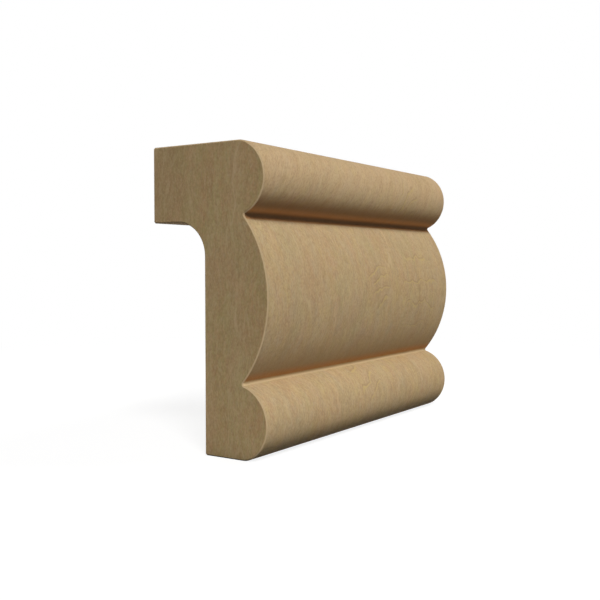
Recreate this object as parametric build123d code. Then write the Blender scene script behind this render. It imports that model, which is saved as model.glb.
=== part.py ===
from build123d import *

import os
from math import hypot, sqrt

# A short length of rebated wooden moulding, run from one solid piece of stock.
# The face carries two beads with a wide belly between them, parted by a narrow quirk on each side of the belly.
# Behind, a rebate takes the edge of a panel, under a square lip that reaches back over it.
#
# Millimetres. X runs along the length, -Y is the moulded face and +Z is up.
# The origin is the middle of the section's box, half way along, at the height of the lower edge.

# Overall sizes
LENGTH = 101.6
HEIGHT = 76.2

# The back: the body behind the belly, and the lip that stands out from it over the rebate
BODY_THICKNESS = 19.05
LIP_THICKNESS = 19.05
REBATE_DEPTH = 16.5
REBATE_CORNER_RADIUS = 8.4

# The face: depths and setbacks are measured back from the foremost line of the belly
UPPER_BEAD_HEIGHT = 17.5
UPPER_BEAD_SETBACK = 1.1
UPPER_QUIRK_DEPTH = 7.3
TOP_EDGE_DEPTH = 7.85
LOWER_BEAD_HEIGHT = 18.1
LOWER_BEAD_SETBACK = 0.35
LOWER_QUIRK_DEPTH = 7.9
BOTTOM_EDGE_DEPTH = 6.4

# Small sizes: the beads roll over into the top and the lower edge, the floor of a quirk is round,
# and the arrises of the back and of the sawn ends are taken off
EDGE_RADIUS = 5.0
QUIRK_RADIUS = 0.5
BACK_ARRIS = 0.4
END_ARRIS = 0.3
END_ARRIS_ANGLE = 45

overall_depth = BODY_THICKNESS + REBATE_DEPTH


def swelling(lower, upper, front):
    """The arc between two points of the face whose foremost point lies at the depth of front."""
    lower_depth = lower[0] - front
    upper_depth = upper[0] - front
    rise = upper[1] - lower[1]
    chord = hypot(rise, upper_depth - lower_depth)
    # A circle that touches the upright line at the depth of front and passes through both points fixes the height
    reach = rise**2 + upper_depth * (upper_depth - lower_depth)
    height = lower_depth * reach / (rise * lower_depth + chord * sqrt(lower_depth * upper_depth))
    return ThreePointArc(lower, (front, lower[1] + height), upper)


def section():
    """The section, as depth behind the belly and height: drawn with sharp corners, which are then eased."""
    bottom_edge = (BOTTOM_EDGE_DEPTH, 0)
    lower_quirk = (LOWER_QUIRK_DEPTH, LOWER_BEAD_HEIGHT)
    upper_quirk = (UPPER_QUIRK_DEPTH, HEIGHT - UPPER_BEAD_HEIGHT)
    top_edge = (TOP_EDGE_DEPTH, HEIGHT)
    lip_top = (overall_depth, HEIGHT)
    lip_bottom = (overall_depth, HEIGHT - LIP_THICKNESS)
    rebate_corner = (BODY_THICKNESS, HEIGHT - LIP_THICKNESS)
    bottom_back = (BODY_THICKNESS, 0)
    face = make_face(
        [
            swelling(bottom_edge, lower_quirk, LOWER_BEAD_SETBACK),
            swelling(lower_quirk, upper_quirk, 0),
            swelling(upper_quirk, top_edge, UPPER_BEAD_SETBACK),
            Polyline(top_edge, lip_top, lip_bottom, rebate_corner, bottom_back, bottom_edge),
        ]
    )
    for ease, size, corners in (
        (fillet, EDGE_RADIUS, [bottom_edge, top_edge]),
        (fillet, QUIRK_RADIUS, [lower_quirk, upper_quirk]),
        (fillet, REBATE_CORNER_RADIUS, [rebate_corner]),
        (chamfer, BACK_ARRIS, [lip_top, lip_bottom, bottom_back]),
    ):
        for corner in corners:
            face = ease(face.vertices().sort_by_distance(corner)[0], size)
    return face


def moulding():
    """The section run along its length, drawn in at each sawn end by the arris that is taken off there."""
    start = Plane.YZ.offset(END_ARRIS - LENGTH / 2) * Pos(-overall_depth / 2, 0)
    run = extrude(start * section(), LENGTH - 2 * END_ARRIS)
    ends = run.faces().filter_by(Axis.X).sort_by(Axis.X)
    for end in (ends[0], ends[-1]):
        run += extrude(end, END_ARRIS, taper=END_ARRIS_ANGLE)
    return run


os.makedirs("parts", exist_ok=True)
export_step(moulding(), "parts/moulding.step")
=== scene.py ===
import math

import bpy
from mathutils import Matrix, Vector


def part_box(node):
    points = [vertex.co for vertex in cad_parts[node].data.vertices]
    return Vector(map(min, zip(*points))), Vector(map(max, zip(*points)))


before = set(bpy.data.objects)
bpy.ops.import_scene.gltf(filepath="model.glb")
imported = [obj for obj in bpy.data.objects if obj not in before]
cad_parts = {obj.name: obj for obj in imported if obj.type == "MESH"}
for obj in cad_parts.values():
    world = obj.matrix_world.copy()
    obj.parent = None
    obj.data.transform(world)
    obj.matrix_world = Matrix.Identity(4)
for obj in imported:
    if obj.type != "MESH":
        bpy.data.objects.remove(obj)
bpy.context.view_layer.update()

# The moulding: one length of pale, close-grained hardwood, planed to its section and sawn off square.
# It is bare and sanded. Its fibres stand upright on the sawn ends and go round the section on the face,
# with soft olive and rosy streaks, and with wavy golden figure on the belly and on the beads.
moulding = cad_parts["moulding"]
low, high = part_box("moulding")
MM = 0.001

wood = bpy.data.materials.new("sanded_wood")
wood.use_nodes = True
tree = wood.node_tree
tree.nodes.clear()


def node(kind, inputs=None, **settings):
    """A node of the tree, with its settings, its input values and the links that feed it."""
    made = tree.nodes.new(kind)
    for name, value in settings.items():
        setattr(made, name, value)
    for name, value in (inputs or {}).items():
        if isinstance(value, bpy.types.NodeSocket):
            tree.links.new(value, made.inputs[name])
        else:
            made.inputs[name].default_value = value
    return made


def sums(operation, first, second=0.0, third=0.0):
    """One step of arithmetic."""
    return node("ShaderNodeMath", {0: first, 1: second, 2: third}, operation=operation).outputs[0]


def both(first, second):
    """A mask that shows what two masks both show."""
    return sums("MULTIPLY", first, second)


def stretched(place, factors):
    """A place with each of its directions scaled."""
    return node("ShaderNodeVectorMath", {0: place, 1: factors}, operation="MULTIPLY").outputs[0]


def clouds(place, size, detail, rough=0.5):
    """Soft noise from 0 to 1 with lumps of about the given size in millimetres."""
    inputs = {"Vector": place, "Scale": 1 / size, "Detail": detail, "Roughness": rough}
    return node("ShaderNodeTexNoise", inputs).outputs["Fac"]


def between(value, start, end):
    """0 at the start, 1 at the end and smooth between them."""
    inputs = {"Value": value, "From Min": start, "From Max": end}
    return node("ShaderNodeMapRange", inputs, interpolation_type="SMOOTHSTEP").outputs["Result"]


def how_far(place, centre, factors):
    """The distance from a centre, with each direction counted by its factor."""
    flat_centre = tuple(c * f for c, f in zip(centre, factors))
    inputs = {0: stretched(place, factors), 1: flat_centre}
    return node("ShaderNodeVectorMath", inputs, operation="DISTANCE").outputs["Value"]


def off_line(value, gap):
    """How far a value is from the nearest of a row of lines, each a gap from the next."""
    turn = sums("FRACT", sums("DIVIDE", value, gap))
    return sums("MULTIPLY", sums("ABSOLUTE", sums("SUBTRACT", turn, 0.5)), gap)


def blended(factor, first, second):
    """Two colours mixed by a factor."""
    made = node("ShaderNodeMix", {0: factor}, data_type="RGBA")
    for socket, value in ((made.inputs[6], first), (made.inputs[7], second)):
        if isinstance(value, bpy.types.NodeSocket):
            tree.links.new(value, socket)
        else:
            socket.default_value = (*value, 1)
    return made.outputs[2]


def toned(base, mask, strength, tint):
    """A base colour with a tint laid over it, at the given strength where its mask is 1."""
    return blended(sums("MULTIPLY", mask, strength), base, tint)


object_place = node("ShaderNodeTexCoord").outputs["Object"]
place = stretched(object_place, (1 / MM, 1 / MM, 1 / MM))
along, through, up = node("ShaderNodeSeparateXYZ", {0: place}).outputs

# The sawn ends, the arris taken off round each of them, and the moulded face
half_length = high.x / MM
from_end = sums("SUBTRACT", half_length, sums("ABSOLUTE", along))
on_end = between(from_end, 0.2, 0.1)
on_arris = sums("SUBTRACT", between(from_end, 0.34, 0.28), between(from_end, 0.06, 0.01))
on_face = both(sums("SUBTRACT", 1.0, on_end), between(through, -3, -5))

# The way of the fibres: across the length on the face and upright on the ends, wandering a little.
# On the upper bead they lean over along the length
UPPER_QUIRK = (0, -10.5, 58.7)
LOWER_QUIRK = (0, -9.9, 18.1)
WANDER = 4.0
LEAN = 0.6
wander = sums("MULTIPLY", clouds(place, 16, 2), WANDER)
up_the_bead = sums("MAXIMUM", sums("SUBTRACT", up, UPPER_QUIRK[2]), 0.0)
across = sums("SUBTRACT", sums("ADD", along, wander), sums("MULTIPLY", up_the_bead, LEAN))
face_way = node("ShaderNodeCombineXYZ", {0: across, 1: through, 2: up}).outputs[0]
end_way = node("ShaderNodeCombineXYZ", {0: sums("ADD", through, wander), 1: along, 2: up}).outputs[0]
way = node("ShaderNodeMix", {0: on_end, 4: face_way, 5: end_way}, data_type="VECTOR").outputs[1]

# What varies along the fibres, from the finest grain to the broadest patches
speck = clouds(stretched(way, (1, 0.6, 0.6)), 0.34, 1)
fleck = clouds(stretched(way, (1, 0.3, 0.3)), 0.5, 2, 0.7)
tinge = clouds(stretched(way, (1, 0.45, 0.45)), 0.55, 2, 0.7)
ash = clouds(stretched(way, (1, 0.4, 0.4)), 0.6, 3, 0.7)
fibre = clouds(stretched(way, (1, 0.10, 0.10)), 1.1, 3, 0.6)
mottle = clouds(stretched(way, (1, 0.35, 0.35)), 2.2, 2, 0.6)
warmth = clouds(stretched(way, (1, 0.45, 0.45)), 3.0, 4, 0.65)
hue = clouds(stretched(way, (1, 0.3, 0.3)), 4.0, 3, 0.65)
streak = clouds(stretched(way, (1, 0.14, 0.14)), 4.5, 3, 0.6)
patch = clouds(stretched(way, (1, 0.5, 0.5)), 8, 3, 0.6)
cloud = clouds(place, 17, 2)

# The wood's own colour: olive and rosy, drifting to ashen, golden, mossy and tawny
OLIVE = (0.451, 0.344, 0.168)
ROSY = (0.503, 0.321, 0.182)
END_OLIVE = (0.430, 0.342, 0.146)
END_ROSY = (0.500, 0.312, 0.156)
ASHEN = (0.45, 0.36, 0.24)
GOLD = (0.55, 0.41, 0.175)
MOSS = (0.42, 0.355, 0.19)
TAWNY = (0.54, 0.36, 0.165)
rosiness = sums("MULTIPLY_ADD", hue, 0.55, sums("MULTIPLY", tinge, 0.5))
olive = blended(on_end, OLIVE, END_OLIVE)
rosy = blended(on_end, ROSY, END_ROSY)
colour = blended(between(rosiness, 0.365, 0.685), olive, rosy)
weaker_on_end = sums("MULTIPLY_ADD", on_end, -0.4, 1.0)
for drift, held, none, full, strength, tint in (
    (ash, weaker_on_end, 0.48, 0.72, 0.75, ASHEN),
    (ash, weaker_on_end, 0.52, 0.28, 0.45, GOLD),
    (warmth, on_face, 0.50, 0.72, 0.58, ASHEN),
    (warmth, on_face, 0.50, 0.28, 0.58, GOLD),
    (patch, on_face, 0.48, 0.70, 0.45, MOSS),
    (patch, on_face, 0.52, 0.30, 0.30, TAWNY),
):
    colour = toned(colour, both(between(drift, none, full), held), strength, tint)

# Painted shade darkens the sawn ends towards the back of the lip, and painted light makes the upper bead
# paler
DARK = (0.34, 0.22, 0.11)
LIT_BUFF = (0.62, 0.43, 0.26)
colour = toned(colour, both(on_end, between(through, 3, 17)), 0.42, DARK)
colour = toned(colour, both(on_face, between(up, 61, 69)), 0.35, LIT_BUFF)

# The grain: pale streaks, dark and pale mottle, a few dark clouds, dark fibres, and fine specks and flecks
PALE = (0.58, 0.43, 0.255)
for grain, none, full, strength, tint in (
    (streak, 0.3, 0.7, 0.28, PALE),
    (mottle, 0.5, 0.8, 0.28, DARK),
    (mottle, 0.5, 0.2, 0.28, PALE),
    (cloud, 0.45, 0.75, 0.16, DARK),
    (fibre, 0.42, 0.75, 0.22, DARK),
    (speck, 0.48, 0.75, 0.38, DARK),
    (speck, 0.52, 0.25, 0.38, PALE),
    (fleck, 0.48, 0.75, 0.38, DARK),
    (fleck, 0.52, 0.25, 0.38, PALE),
):
    colour = toned(colour, between(grain, none, full), strength, tint)

# Growth lines: thin and pale, following the fibres some way apart
GROWTH = 11.0
GROWTH_DRIFT = 26
growth_drift = sums("MULTIPLY", clouds(stretched(way, (1, 0.3, 0.3)), 14, 3), GROWTH_DRIFT)
growth_across = sums("ADD", node("ShaderNodeSeparateXYZ", {0: way}).outputs[0], growth_drift)
growth_line = between(off_line(growth_across, GROWTH), 0.264, 0.088)
growth_shown = between(clouds(place, 9, 1), 0.44, 0.64)
colour = toned(colour, both(growth_line, growth_shown), 0.5, PALE)

# Figure: nested, wavy lines, golden with a dark upper side, where the belly and the beads are shaved along
# the growth. The lines of a patch go round its foot, a ring apart, and are seen within reach of its heart
FROM_FRONT = (1, 0, 1)
FIGURE = [
    {"foot": (30, 0, 15.5), "squash": 0.7, "ring": 6.7, "heart": (31, 0, 39), "reach": 15},
    {"foot": (12, 0, 20), "squash": 1.0, "ring": 3.2, "heart": (4, 0, 41), "reach": 8},
    {"foot": (8, 0, 0), "squash": 1.0, "ring": 3.6, "heart": (1, 0, 15), "reach": 8},
    {"foot": (40, 0, 52), "squash": 1.0, "ring": 4.0, "heart": (25, 0, 66), "reach": 7},
]
FIGURE_LINES = [
    {"to_a_ring": 1, "aside": 0, "width": 0.34, "strength": 0.75, "tint": GOLD},
    {"to_a_ring": 1, "aside": 0.5, "width": 0.38, "strength": 0.42, "tint": DARK},
    {"to_a_ring": 5, "aside": 0, "width": 0.4, "strength": 0.08, "tint": DARK},
]
bend = sums("MULTIPLY", clouds(place, 8, 1), 5)
zigzag = sums("MULTIPLY", clouds(place, 3.0, 1), 2.6)
broken = between(clouds(place, 4, 1), 0.26, 0.44)
for figure in FIGURE:
    out = how_far(place, figure["foot"], (figure["squash"], 0, 1))
    out = sums("ADD", sums("ADD", out, bend), zigzag)
    from_heart = how_far(place, figure["heart"], FROM_FRONT)
    near_heart = between(from_heart, figure["reach"], 0.6 * figure["reach"])
    figure_shown = both(broken, both(on_face, near_heart))
    for row in FIGURE_LINES:
        off = off_line(sums("SUBTRACT", out, row["aside"]), figure["ring"] / row["to_a_ring"])
        line = between(off, row["width"], 0.3 * row["width"])
        colour = toned(colour, both(line, figure_shown), row["strength"], row["tint"])

# Painted shade over the quirks: a warm tint, orange close to each quirk for light bounced between the wood
# surfaces and brown or dark farther up. Painted shadow blackens the upper quirk inside, painted light makes
# the floor of the lower one pale, and painted highlights make the arrises of the ends pale
IN_SECTION = (0, 1, 1)
WARM_BOUNCE = (0.46, 0.19, 0.06)
DEEP_SHADE = (0.25, 0.12, 0.05)
SHADOW_BLACK = (0.115, 0.088, 0.055)
QUIRK_LIGHT = (0.68, 0.52, 0.30)
from_upper = how_far(place, UPPER_QUIRK, IN_SECTION)
from_lower = how_far(place, LOWER_QUIRK, IN_SECTION)
for from_quirk, lowest, near, far, strength, far_tint in (
    (from_upper, UPPER_QUIRK[2] - 1.5, 3.5, 8.5, 0.75, DEEP_SHADE),
    (from_lower, LOWER_QUIRK[2] + 0.5, 0, 14, 0.72, DARK),
):
    painted_shade = both(both(on_face, between(up, lowest, lowest + 0.6)), between(from_quirk, far, near))
    shade_tint = blended(between(from_quirk, 1.8, 4.2), WARM_BOUNCE, far_tint)
    colour = toned(colour, painted_shade, strength, shade_tint)
# Painted shadow of the upper bead, black inside the upper quirk
colour = toned(colour, both(on_face, between(from_upper, 2.2, 0)), 0.68, SHADOW_BLACK)
# Painted light, pale on the floor of the lower quirk
quirk_floor = both(on_face, between(from_lower, 1.3, 0.5))
painted_light = both(quirk_floor, between(up, LOWER_QUIRK[2] - 0.25, LOWER_QUIRK[2] + 0.05))
colour = toned(colour, painted_light, 0.85, QUIRK_LIGHT)
# Painted highlight, pale on the arrises of the ends
colour = toned(colour, on_arris, 0.8, PALE)

# The sanded surface: almost without gloss, with the relief of the grain
GLOSS = 0.004
GRAIN_DEPTH = 0.04 * MM
relief = sums("ADD", sums("MULTIPLY", fleck, 0.6), fibre)
bump = node("ShaderNodeBump", {"Strength": 0.2, "Distance": GRAIN_DEPTH, "Height": relief}).outputs[0]
roughness = sums("MULTIPLY_ADD", fibre, 0.2, 0.45)
surface = {"Base Color": colour, "Roughness": roughness, "Specular IOR Level": GLOSS, "Normal": bump}
shader = node("ShaderNodeBsdfPrincipled", surface)
node("ShaderNodeOutputMaterial", {"Surface": shader.outputs[0]})
moulding.data.materials.clear()
moulding.data.materials.append(wood)

# The floor: a broad, matt sheet that the moulding stands on, white to the camera, with a soft shadow on it.
# It goes over into the white of the backdrop. The light that it throws back is that of grey paper, paler
# round the moulding and nearly black in a narrow strip along the lower bead.
FLOOR_SIZE = 6.0
GLOW = 0.85
WHITE = (1, 1, 1, 1)
SHADOW_GREY = (0.25, 0.25, 0.25, 1)
FAR_GREY = (0.25, 0.25, 0.25)
NEAR_GREY = (0.5, 0.5, 0.5)
STRIP_GREY = (0.03, 0.03, 0.03)
bpy.ops.object.select_all(action="DESELECT")
bpy.ops.mesh.primitive_plane_add(size=FLOOR_SIZE, location=(0, 0, low.z))
floor = bpy.context.object
floor.name = "floor"
sheet = bpy.data.materials.new("white_sheet")
sheet.use_nodes = True
tree = sheet.node_tree
tree.nodes.clear()


def seen_directly():
    """1 for what the camera sees, straight or by way of gloss or glass, and 0 for other light."""
    path = node("ShaderNodeLightPath")
    seen = sums("MAXIMUM", path.outputs["Is Camera Ray"], path.outputs["Is Glossy Ray"])
    return sums("MAXIMUM", seen, path.outputs["Is Transmission Ray"])


floor_place = node("ShaderNodeTexCoord").outputs["Object"]
away = node("ShaderNodeVectorMath", {0: floor_place}, operation="LENGTH").outputs["Value"]
white = node("ShaderNodeEmission", {"Color": WHITE, "Strength": 1.0})
glow = node("ShaderNodeEmission", {"Color": WHITE, "Strength": GLOW})
lit = node("ShaderNodeBsdfDiffuse", {"Color": SHADOW_GREY})
shaded = node("ShaderNodeAddShader", {0: glow.outputs[0], 1: lit.outputs[0]})
far_off = between(away, 0.12, 0.3)
seen_sheet = node("ShaderNodeMixShader", {0: far_off, 1: shaded.outputs[0], 2: white.outputs[0]})
aside, ahead, _ = node("ShaderNodeSeparateXYZ", {0: floor_place}).outputs
past_end = sums("SUBTRACT", sums("ABSOLUTE", aside), high.x)
past_face = sums("SUBTRACT", low.y, ahead)
close_by = between(sums("MAXIMUM", past_end, past_face), 0.045, 0.020)
along_bead = both(between(past_face, 0.004, 0.0), between(past_end, 0.006, 0.0))
paper = blended(along_bead, blended(close_by, FAR_GREY, NEAR_GREY), STRIP_GREY)
bounced = node("ShaderNodeBsdfDiffuse", {"Color": paper})
sheet_sides = {0: seen_directly(), 1: bounced.outputs[0], 2: seen_sheet.outputs[0]}
sheet_surface = node("ShaderNodeMixShader", sheet_sides)
node("ShaderNodeOutputMaterial", {"Surface": sheet_surface.outputs[0]})
floor.data.materials.append(sheet)

# The light: a soft box high on the left in front, a weaker one high on the right and a low one in front,
# which fills the shade of the beads. One more stands behind, for the back. The room is dark but for its
# white backdrop.
BOX_SIZE = 0.9
world = bpy.data.worlds.new("studio")
bpy.context.scene.world = world
world.use_nodes = True
tree = world.node_tree
tree.nodes.clear()
dark_room = node("ShaderNodeBackground", {"Color": WHITE, "Strength": 0.0})
backdrop = node("ShaderNodeBackground", {"Color": WHITE, "Strength": 1.0})
room = node("ShaderNodeMixShader", {0: seen_directly(), 1: dark_room.outputs[0], 2: backdrop.outputs[0]})
node("ShaderNodeOutputWorld", {"Surface": room.outputs[0]})

middle = (low + high) / 2


def soft_box(name, place, power):
    """A square soft box, turned to face the moulding."""
    lamp = bpy.data.lights.new(name, "AREA")
    lamp.size = BOX_SIZE
    lamp.energy = power
    stand = bpy.data.objects.new(name, lamp)
    bpy.context.scene.collection.objects.link(stand)
    stand.location = place
    stand.rotation_euler = (middle - Vector(place)).to_track_quat("-Z", "Y").to_euler()


soft_box("left_box", (-1.55, -1.55, 2.085), 63)
soft_box("right_box", (1.55, -1.55, 2.085), 34)
soft_box("front_box", (-0.3, -3.0, 0.3), 11)
soft_box("back_box", (0.9, 2.8, 0.6), 36)

# The camera: a little below the upper bead, to the left of the moulding and close to it.
# Its place is measured from the lower front corner of the moulding's box, at the end on its side.
FOCAL_PIXELS = 858.6
IMAGE_PIXELS = 600
SENSOR = 36.0
YAW = math.radians(33.336)
PITCH = math.radians(-2.359)
CAMERA_FROM_CORNER = Vector((-161.866, -115.314, 46.744)) * MM
NEAREST = 0.01

camera = bpy.data.objects.new("camera", bpy.data.cameras.new("camera"))
bpy.context.scene.collection.objects.link(camera)
camera.data.sensor_width = SENSOR
camera.data.lens = FOCAL_PIXELS / IMAGE_PIXELS * SENSOR
camera.data.clip_start = NEAREST
camera.location = low + CAMERA_FROM_CORNER
camera.rotation_euler = (math.radians(90) + PITCH, 0, YAW - math.radians(90))
bpy.context.scene.camera = camera
bpy.context.scene.view_settings.view_transform = "Standard"
